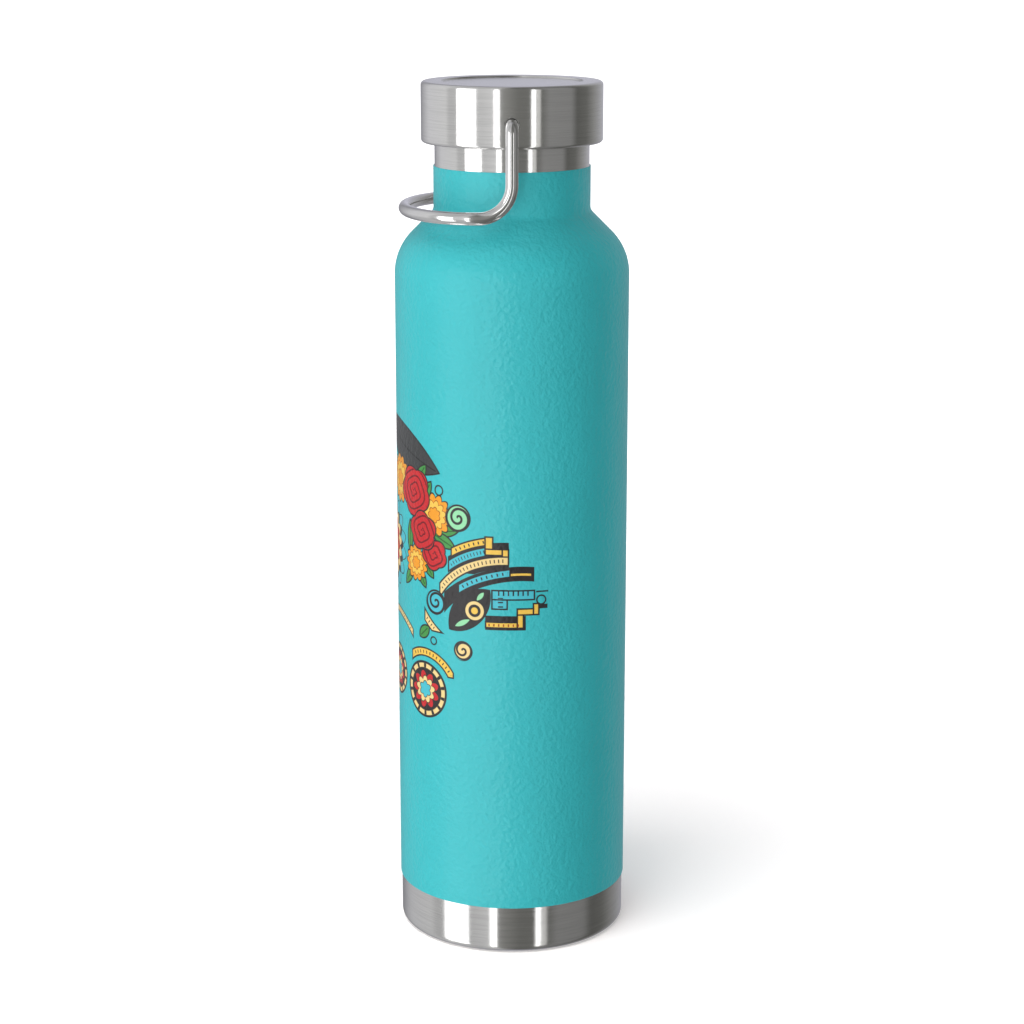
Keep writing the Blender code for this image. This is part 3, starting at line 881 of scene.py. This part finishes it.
def start_coat():
    """Powder coat without its print: the finish and its colour."""
    finish = Finish("turquoise_powder_coat", {"IOR": 1.5, "Specular IOR Level": 0.38})
    cloud = finish.noise(45.0, 3.0)
    colour = finish.blend(cloud, shade(COAT_COLOUR, 0.94), shade(COAT_COLOUR, 1.05))
    hills = finish.noise(680.0, 1.5)
    grit = finish.noise(2600.0, 1.0)
    finish.feed({"Roughness": (cloud - 0.5) * 0.06 + 0.36})
    finish.feed({"Normal": finish.bump(hills * 0.9 + grit * 0.1, 0.36 * MM)})
    return finish, colour


powder_coat, coat_colour = start_coat()
wear(coat, powder_coat)
coat.visible_glossy = False
print("coat colour:", COAT_COLOUR)

# %% [markdown]
# ## Print
#
# A garland of flowers, bands and frets is printed on the side under the loop. An
# image would do on a real production line, but here every shape is a depth: a signal
# that is above zero inside the shape and tells how far inside it is, in millimetres.
# Inking it twice, first a little larger in black, draws the outline. The pattern is
# laid out on the unrolled body, with the height as one side and the way round from
# the loop's side as the other, and taking that way round as positive mirrors it.

# %% Draw shapes as depths
class Print:
    """Inks laid one over the other on the unrolled body, in millimetres."""

    EDGE = 0.12
    OUTLINE = 0.5

    def __init__(self, finish, ground):
        self.finish = finish
        self.colour = ground
        turn = finish.position.math("ARCTAN2", finish.y, 0.0 - finish.x)
        self.u = abs(turn) * (coat_radius / MM)
        self.v = finish.z / MM
        self.spot = finish.vector(self.u, self.v, 0.0)

    def ink(self, depth, colour):
        """Lay an ink where a depth is above zero."""
        settings = {"operation": "MULTIPLY_ADD", "use_clamp": True}
        mask = depth.node("Math", settings, {0: depth, 1: 1 / self.EDGE, 2: 0.5})
        self.colour = self.finish.blend(mask, self.colour, colour)

    def outlined(self, depth, colour, outline=OUTLINE):
        """Lay an ink with a black outline round it."""
        self.ink(depth + outline, BLACK)
        self.ink(depth, colour)

    def away(self, centre):
        """Distance from a point."""
        return self.spot.measure("DISTANCE", (*centre, 0.0))

    def angle(self, centre):
        """Direction from a point, in radians."""
        return self.spot.math("ARCTAN2", self.v - centre[1], self.u - centre[0])

    def flower(self, centre, radius, petals, cut, turn=0.0):
        """Depth of a flower whose notches take a share of the radius."""
        wave = abs(self.spot.math("SINE", self.angle(centre) * (petals / 2) + turn))
        return (wave * cut + (1 - cut)) * radius - self.away(centre)

    def leaf(self, tip, stem, belly):
        """Depth of a pointed leaf between two points: where two large discs overlap."""
        tip, stem = Vector(tip), Vector(stem)
        half = (tip - stem).length / 2
        radius = (half ** 2 + belly ** 2) / (2 * belly)
        across = (tip - stem).orthogonal().normalized() * (radius - belly)
        middle = (tip + stem) / 2
        return radius - (self.away(middle + across) | self.away(middle - across))

    def box(self, left, bottom, right, top):
        """Depth of an upright box."""
        wide = (right - left) / 2 - abs(self.u - (left + right) / 2)
        return wide & ((top - bottom) / 2 - abs(self.v - (bottom + top) / 2))

    def hoop(self, centre, radius, width):
        """Depth of a ring with a given width."""
        return width / 2 - abs(self.away(centre) - radius)

    def dashes(self, value, share, length):
        """Depth of a repeating dash, one for each unit of a value."""
        return (share / 2 - abs(self.spot.math("FRACT", value) - 0.5)) * length


BLACK = (0.022, 0.020, 0.022)
CHARCOAL = (0.045, 0.048, 0.05)
RED = (0.58, 0.020, 0.026)
DEEP_RED = (0.16, 0.006, 0.012)
AMBER = (0.86, 0.34, 0.020)
YELLOW = (0.88, 0.56, 0.085)
RUST = (0.36, 0.070, 0.010)
CREAM = (0.88, 0.66, 0.28)
GREEN = (0.060, 0.30, 0.065)
MINT = (0.30, 0.72, 0.40)
SKY = (0.065, 0.52, 0.62)
garland = Print(powder_coat, coat_colour)
print("inks ready on a coat of radius", round(coat_radius / MM, 1), "mm")

# %% [markdown]
# ## Flowers of the print
#
# Roses get a spiral line inside, marigolds get rings of petals, and a large dahlia
# sits in the middle of the pattern, where the two mirrored halves meet.

# %% Print the leaves and flowers
def print_leaf(tip, stem, belly, colour):
    """Leaf with a dark vein."""
    depth = garland.leaf(tip, stem, belly)
    garland.outlined(depth, colour)
    normal = (Vector(tip) - Vector(stem)).orthogonal().normalized()
    across = garland.spot.measure("DOT_PRODUCT", (*normal, 0.0))
    vein = 0.2 - abs(across - normal.dot(Vector(stem)))
    garland.ink(vein & depth - 0.5, shade(colour, 0.35))


def print_rose(centre, radius):
    """Rose: five shallow petals and a spiral that winds through them."""
    depth = garland.flower(centre, radius, 5, 0.16, centre[0])
    garland.outlined(depth, RED)
    angle = garland.angle(centre)
    wobble = garland.spot.math("SINE", angle * 4.0) * 0.13
    spiral = garland.dashes(garland.away(centre) / 2.1 + angle / math.tau + wobble, 0.26, 2.1)
    garland.ink(spiral & depth - 0.2, DEEP_RED)


def print_marigold(centre, radius):
    """Marigold: three rings of petals."""
    garland.outlined(garland.flower(centre, radius, 13, 0.20), AMBER)
    for share, petals, cut, turn, colour in [(0.70, 11, 0.24, 0.5, YELLOW), (0.36, 7, 0.26, 0.0, AMBER)]:
        depth = garland.flower(centre, share * radius, petals, cut, turn)
        garland.ink(depth + 0.3, RUST)
        garland.ink(depth, colour)


def print_dahlia(centre, radius):
    """Large dahlia: rings of petals in turn."""
    rings = [(1.0, 16, SKY), (0.82, 16, BLACK), (0.74, 16, CREAM), (0.56, 12, RED), (0.38, 10, AMBER)]
    for share, petals, colour in rings:
        garland.outlined(garland.flower(centre, share * radius, petals, 0.2, share * 9), colour)
    garland.outlined(0.16 * radius - garland.away(centre), BLACK)


LEAVES = [((27.5, 156.0), (22.5, 149.0), 1.7), ((29.8, 151.0), (25.5, 144.0), 1.6),
          ((40.0, 137.0), (31.5, 136.0), 1.5), ((38.8, 131.6), (31.0, 135.0), 1.7),
          ((30.6, 121.0), (26.0, 127.0), 1.4), ((27.2, 117.4), (23.5, 123.5), 1.4),
          ((16.0, 116.5), (21.0, 123.0), 1.5), ((19.0, 137.0), (19.0, 126.5), 1.4)]
print_dahlia((0.0, 127.0), 15.5)
print_leaf((33.0, 154.5), (-4.0, 166.5), 6.2, CHARCOAL)
for tip, stem, belly in LEAVES:
    print_leaf(tip, stem, belly, GREEN)
for centre, radius in [((10.9, 149.0), 7.6), ((31.2, 141.0), 6.6), ((22.4, 124.2), 5.6)]:
    print_marigold(centre, radius)
for centre, radius in [((21.6, 147.0), 7.8), ((31.0, 128.4), 5.0), ((25.7, 135.0), 6.2)]:
    print_rose(centre, radius)
print("nodes so far:", len(powder_coat.tree.nodes))

# %% [markdown]
# ## Bands, frets and curls of the print
#
# Beside the flowers, bands sweep out along large circles and end in steps, like cut
# paper. Dashes across them and a row of frets keep them lively, and small curls, rings
# and a medallion fill the gaps.

# %% Print the bands
def print_band(centre, radius, width, limits, colour, dashes):
    """Part of a ring inside a box, with dashes across it."""
    depth = garland.hoop(centre, radius, width) & garland.box(*limits)
    garland.outlined(depth, colour)
    if dashes:
        across = garland.dashes(garland.angle(centre) * (radius / dashes), 0.26, dashes)
        garland.ink(across & depth - 0.25 * width, BLACK)


def print_steps(boxes, colour):
    """Boxes with an outline, one over the other."""
    for limits in boxes:
        garland.outlined(garland.box(*limits), colour)


SWEEP = (55.0, 102.0)
LONG_SWEEP = (60.0, 90.0)
garland.ink(garland.hoop(SWEEP, 28.2, 8.5) & garland.box(36.5, 124.0, 56.4, 137.0), BLACK)
print_band(SWEEP, 33.0, 1.8, (38.0, 129.0, 51.0, 137.0), YELLOW, 1.6)
print_band(SWEEP, 29.9, 2.2, (37.0, 124.0, 49.5, 134.0), SKY, 1.1)
print_steps([(49.3, 131.2, 51.2, 135.8), (49.3, 130.6, 56.0, 132.0), (54.6, 128.2, 56.0, 132.0)], YELLOW)
print_band(SWEEP, 26.6, 2.2, (33.6, 115.0, 56.0, 131.0), CREAM, 1.3)
garland.ink(garland.hoop(LONG_SWEEP, 34.6, 4.6) & garland.box(35.0, 108.0, 64.2, 127.0), BLACK)
print_band(LONG_SWEEP, 34.9, 1.9, (40.5, 112.0, 56.5, 127.0), SKY, 1.7)
print_band(LONG_SWEEP, 34.4, 0.7, (57.0, 121.0, 63.2, 127.0), YELLOW, 0.0)
print_band((50.0, 129.0), 31.0, 2.0, (27.0, 104.0, 40.2, 117.5), CREAM, 1.3)

# %% Print the frets
def print_frets():
    """Block of square frets with a stepped yellow bar below it."""
    print_steps([(51.4, 113.6, 55.6, 119.0), (51.4, 116.6, 64.0, 119.0)], SKY)
    comb = garland.dashes(garland.u / 1.5, 0.3, 1.5)
    garland.ink(comb & garland.box(52.6, 117.6, 63.4, 119.2), BLACK)
    rungs = garland.dashes(garland.v / 1.4, 0.32, 1.4)
    garland.ink(rungs & garland.box(53.0, 113.8, 54.6, 117.0), BLACK)
    garland.ink(garland.box(49.0, 106.6, 61.6, 111.2), BLACK)
    print_steps([(49.4, 107.6, 60.6, 108.9), (59.2, 107.6, 60.6, 113.2),
                 (59.2, 111.8, 65.4, 113.2), (64.2, 111.8, 65.4, 114.8)], YELLOW)
    garland.ink(comb & garland.box(50.0, 107.8, 59.8, 108.6), RUST)
    for limits in [(64.8, 118.6, 68.6, 119.1), (65.8, 113.4, 68.4, 114.8)]:
        garland.ink(garland.box(*limits), BLACK)


# %% Print the curls and the medallion
def print_curl(centre, radius, pitch, colour):
    """Spiral line inside a disc."""
    disc = radius - garland.away(centre)
    line = garland.dashes(garland.away(centre) / pitch + garland.angle(centre) / math.tau, 0.36, pitch)
    garland.outlined(disc - 0.9, colour, 0.6)
    garland.ink(disc & line, BLACK)


def print_medallion(centre, radius):
    """Round medallion: a dashed rim and a flower in it."""
    garland.ink(radius - garland.away(centre), BLACK)
    rim = garland.hoop(centre, 0.84 * radius, 0.15 * radius)
    garland.ink(rim, CREAM)
    rays = garland.dashes(garland.angle(centre) * (14 / math.tau), 0.3, 0.3 * radius)
    garland.ink(rim & rays, BLACK)
    garland.ink(garland.flower(centre, 0.66 * radius, 9, 0.34), RED)
    garland.outlined(garland.flower(centre, 0.47 * radius, 9, 0.3, 0.8), CREAM, 0.35)
    garland.outlined(garland.flower(centre, 0.28 * radius, 6, 0.3), SKY, 0.3)


print_frets()
EYELET = (45.6, 112.4)
garland.ink(garland.leaf((50.6, 119.4), (36.8, 105.4), 5.2), BLACK)
garland.ink(garland.hoop(EYELET, 2.5, 1.0), CREAM)
garland.ink(1.1 - garland.away(EYELET), YELLOW)
for tip, stem, belly in [((44.0, 109.4), (39.0, 106.8), 0.8), ((48.6, 118.4), (46.4, 115.8), 0.7)]:
    garland.ink(garland.leaf(tip, stem, belly), MINT)
for centre, radius, pitch, colour in [((40.2, 141.2), 4.6, 2.3, MINT), ((31.6, 113.4), 4.2, 2.2, SKY),
                                      ((41.6, 99.2), 3.4, 2.0, CREAM)]:
    print_curl(centre, radius, pitch, colour)
for centre, radius in [((33.2, 149.0), 1.5), ((66.4, 116.2), 1.4), ((30.6, 100.6), 1.2)]:
    garland.ink(garland.hoop(centre, radius, 0.5), BLACK)
print_leaf((28.4, 104.6), (24.4, 101.0), 1.6, GREEN)
print_medallion((26.6, 84.0), 9.2)
print_medallion((7.4, 86.0), 8.4)
print_band((27.0, 84.0), 12.2, 2.0, (20.0, 90.0, 38.0, 99.0), YELLOW, 1.5)
print_band((7.4, 86.0), 19.6, 1.4, (4.0, 98.0, 20.0, 107.0), CREAM, 1.4)
powder_coat.feed({"Base Color": garland.colour})
print("the printed coat has", len(powder_coat.tree.nodes), "nodes")

# %% [markdown]
# ## Plastic, silicone and the hidden pieces
#
# The core is moulded plastic with a fine spark-eroded grain, the gasket is milky
# silicone, and inside the walls hide copper plating, foam, a getter tablet and a bead
# of solder glass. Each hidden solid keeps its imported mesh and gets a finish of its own.

# %% Make the other finishes
def make_moulded(name, colour, roughness, grain, density, constants):
    """Moulded or cast material with a fine grain."""
    finish = Finish(name, constants)
    speckle = finish.noise(density, 3.0)
    patch = finish.noise(density / 20.0, 2.0)
    finish.feed({"Base Color": finish.blend(patch, shade(colour, 0.85), shade(colour, 1.15))})
    finish.feed({"Roughness": (speckle - 0.5) * 0.15 + roughness})
    finish.feed({"Normal": finish.bump(speckle, grain)})
    return finish


dark_plastic = make_moulded("dark_plastic", (0.03, 0.03, 0.034), 0.45, 0.02 * MM, 4000.0, {})
milky_silicone = make_moulded("milky_silicone", (0.72, 0.74, 0.74), 0.48, 0.01 * MM, 2500.0,
                              {"Subsurface Weight": 0.3, "Subsurface Scale": 1.5 * MM})
white_foam = make_moulded("white_foam", (0.84, 0.84, 0.80), 0.9, 0.3 * MM, 900.0, {})
getter_metal = make_moulded("getter_metal", (0.24, 0.24, 0.26), 0.6, 0.05 * MM, 3500.0, {"Metallic": 1.0})
solder_glass = make_moulded("solder_glass", (0.10, 0.11, 0.085), 0.18, 0.01 * MM, 1500.0, {"IOR": 1.65})
copper = make_brushed_steel("copper_layer", (0.80, 0.40, 0.27), 0.22, 0.006 * MM)
for piece, finish in ((core, dark_plastic), (plug_lid, dark_plastic), (gasket, milky_silicone)):
    wear(piece, finish)
hidden = {"copper_plating": copper, "base_pan": brushed_steel, "getter_capsule": getter_metal,
          "getter_holder": brushed_steel, "vacuum_port_seal": solder_glass,
          "core_upper": dark_plastic, "cap_insulation": white_foam}
for node, finish in hidden.items():
    frame["nodes"][node].material_slots[0].material = finish.material
print("hidden solids with a finish:", len(hidden))

# %% [markdown]
# ## Studio
#
# What the steel shows is the room, so the room is set up for it: tall lamps stand
# round the bottle, and each is given by the two directions between which it stands, in
# degrees from the camera towards the right. The paper lets reflections through, so
# the lamps reach below the horizon and the bands run unbroken down to the foot.

# %% Set up the tall lamps
LAMP_DISTANCE = 2.2
LAMP_MIDDLE = -0.25
LAMP_HEIGHT = 2.9
WHITE = (1.0, 1.0, 1.0)


def hang(name, settings, away, lift, mirrored):
    """Soft lamp that faces the bottle; gloss may leave it out."""
    data = bpy.data.lights.new(name, "AREA")
    for key, value in settings.items():
        setattr(data, key, value)
    lamp = bpy.data.objects.new(name, data)
    lamp.location = away + Vector((0.0, 0.0, lift))
    lamp.rotation_euler = away.to_track_quat("Z", "Y").to_euler()
    lamp.visible_camera = False
    lamp.visible_glossy = mirrored
    bpy.context.scene.collection.objects.link(lamp)
    return lamp


def make_lamp(name, start, end, brightness, colour=WHITE, mirrored=True):
    """Tall lamp that stands between two directions."""
    width = 2 * LAMP_DISTANCE * math.tan(math.radians(end - start) / 2)
    energy = brightness * math.pi * width * LAMP_HEIGHT
    middle = math.radians(start + end) / 2
    away = Vector((math.sin(middle), -math.cos(middle), 0.0)) * LAMP_DISTANCE
    settings = {"shape": "RECTANGLE", "size": width, "size_y": LAMP_HEIGHT, "energy": energy, "color": colour}
    return hang(name, settings, away, LAMP_MIDDLE, mirrored)


lamps = [make_lamp("key_window", -73.2, -46.0, 1.7),
         make_lamp("front_strip", -22.4, -15.6, 1.8),
         make_lamp("right_strip", 24.3, 29.6, 1.8),
         make_lamp("right_card", 30.2, 36.0, 0.50, (1.0, 0.99, 0.97)),
         make_lamp("front_fill", -22.0, 8.0, 0.95, mirrored=False),
         make_lamp("side_fill", 112.0, 142.0, 2.5, (0.92, 0.95, 1.0), mirrored=False)]
print("tall lamps:", len(lamps))

# %% [markdown]
# ## Lamps for one piece
#
# The coat asks for a broad soft sheen that the steel shouldn't mirror, and the paper
# for a brighter lamp than the bottle can take. Two cards and a mask would do that in a
# studio. Light linking does it here: a lamp lights only what its own collection holds.
# The two round lamps hang to the front left, so the shadow falls back to the right.

# %% Light one piece alone
OVERHEAD_PLACE = Vector((-0.34, -0.50, 1.9))


def light_only(lamp, piece):
    """Let a lamp light one piece and nothing else."""
    group = bpy.data.collections.new(lamp.name + "_lights")
    group.objects.link(piece)
    lamp.light_linking.receiver_collection = group


def hang_overhead(name, energy, size):
    """Round lamp above the bottle that gloss leaves out."""
    settings = {"shape": "DISK", "size": size, "energy": energy}
    return hang(name, settings, OVERHEAD_PLACE, 0.0, mirrored=False)


light_only(make_lamp("coat_card", -46.0, -10.0, 0.85), coat)
hang_overhead("overhead", 11.0, 2.2)
paper_lamp = hang_overhead("paper_lamp", 20.0, 0.75)
print("round lamps hang at", round(OVERHEAD_PLACE.z, 2), "m")

# %% [markdown]
# ## Room
#
# Between the lamps the steel mirrors the walls of the room, which are paler on the
# left than on the right. A world colour that depends on the direction stands for
# them: a ramp over the way round, with the same degrees as the lamps, a grey and a
# share of blue. It is dimmed towards the ceiling and towards the floor.

# %% Paint the walls of the room
ROOM = [(-180, 0.72, 1.14), (-163, 0.36, 1.08), (-130, 0.82, 1.03), (-92, 0.88, 1.0), (-86, 0.68, 1.0),
        (-45, 0.76, 1.0), (-24, 0.90, 1.0), (-15, 0.44, 0.97), (-8, 0.34, 0.95), (8, 0.23, 0.94),
        (22, 0.22, 0.94), (38, 0.21, 0.94), (48, 0.33, 0.98), (80, 0.31, 0.98), (90, 0.15, 0.94),
        (108, 0.18, 0.94), (126, 0.34, 0.97), (150, 0.52, 1.05), (165, 0.56, 1.10), (180, 0.72, 1.14)]
WALL_LIGHT = 0.78
CEILING_LIGHT = 0.62
LOW_WALL_LIGHT = 0.58


def make_room():
    """World whose brightness follows the way round and the height."""
    room = bpy.data.worlds.new("grey_room")
    room.use_nodes = True
    start = Signal(room.node_tree)
    direction = start.node("SeparateXYZ", {}, {0: start.node("TexCoord", {}, {})})
    turn = start.math("ARCTAN2", direction, 0.0 - direction.output(1)) / math.tau + 0.5
    stops = [(degrees / 360 + 0.5, (grey, grey, grey * blue)) for degrees, grey, blue in ROOM]
    walls = start.node("ValToRGB", {"stops": stops}, {0: turn})
    rise = direction.output(2)
    above = rise.stretch(0.55, 0.85, WALL_LIGHT, CEILING_LIGHT)
    below = rise.stretch(-0.38, -0.12, LOW_WALL_LIGHT, WALL_LIGHT)
    back = room.node_tree.nodes["Background"].inputs
    start.join(walls, back["Color"])
    start.join(above & below, back["Strength"])
    bpy.context.scene.world = room


make_room()
print("room has", len(ROOM), "stops")

# %% [markdown]
# ## Paper
#
# One large sheet, fine-grained, which glows a little as if lit from below too, so that
# it stays white where nothing shades it. Far out it sweeps up into a wall, so that a
# low view meets no horizon.

# %% Lay the paper
PAPER_RADIUS = 5.0
PAPER_BEND = 1.0
PAPER_WALL = 4.0
PAPER_LEVEL = -0.05 * MM
NEAR_GLOW = (0.255, 0.25, 0.25)


def lay_paper():
    """Round pale sheet just under the foot, swept up into a wall far behind the lamps."""
    flat = PAPER_RADIUS - PAPER_BEND
    sweep = arc((flat, PAPER_LEVEL + PAPER_BEND), PAPER_BEND, -90.0, 0.0, 12)
    outline = [(0.0, PAPER_LEVEL)] + sweep + [(PAPER_RADIUS, PAPER_WALL)]
    paper = to_object("paper", spin(outline, closed=False))
    paper.visible_glossy = False
    paper.visible_diffuse = False
    paper.visible_shadow = False
    finish = Finish("pale_paper", {"Specular IOR Level": 0.1, "Emission Strength": 1.0, "Roughness": 0.9})
    far = finish.position.measure("LENGTH").stretch(0.2, 1.2)
    finish.feed({"Emission Color": finish.blend(far, NEAR_GLOW, WHITE)})
    fibre = finish.noise(700.0, 3.0)
    finish.feed({"Base Color": finish.blend(fibre, (0.86, 0.835, 0.83), (0.90, 0.875, 0.87))})
    wear(paper, finish)
    light_only(paper_lamp, paper)


lay_paper()
bpy.context.scene.view_settings.view_transform = "Standard"
print("paper reaches", PAPER_RADIUS, "m out")

# %% [markdown]
# ## Camera
#
# The camera stands in front of the bottle a little above the cap and looks slightly
# down. A long lens from three quarters of a metre keeps the sides nearly parallel and
# still shows the top of the cap and the round front of the foot.

# %% Set up the camera
CAMERA_DISTANCE = 774.0 * MM
CAMERA_HEIGHT = 323.2 * MM
CAMERA_PITCH = 13.65
CAMERA_LENS = 87.9

camera_data = bpy.data.cameras.new("front_camera")
camera_data.lens = CAMERA_LENS
camera_data.sensor_width = 36.0
camera_data.clip_start = 0.01
camera = bpy.data.objects.new("front_camera", camera_data)
camera.location = (0.0, -CAMERA_DISTANCE, CAMERA_HEIGHT)
camera.rotation_euler = (math.radians(90.0 - CAMERA_PITCH), 0.0, 0.0)
bpy.context.scene.collection.objects.link(camera)
bpy.context.scene.camera = camera
print("camera is", CAMERA_DISTANCE, "m away and looks", CAMERA_PITCH, "degrees down")
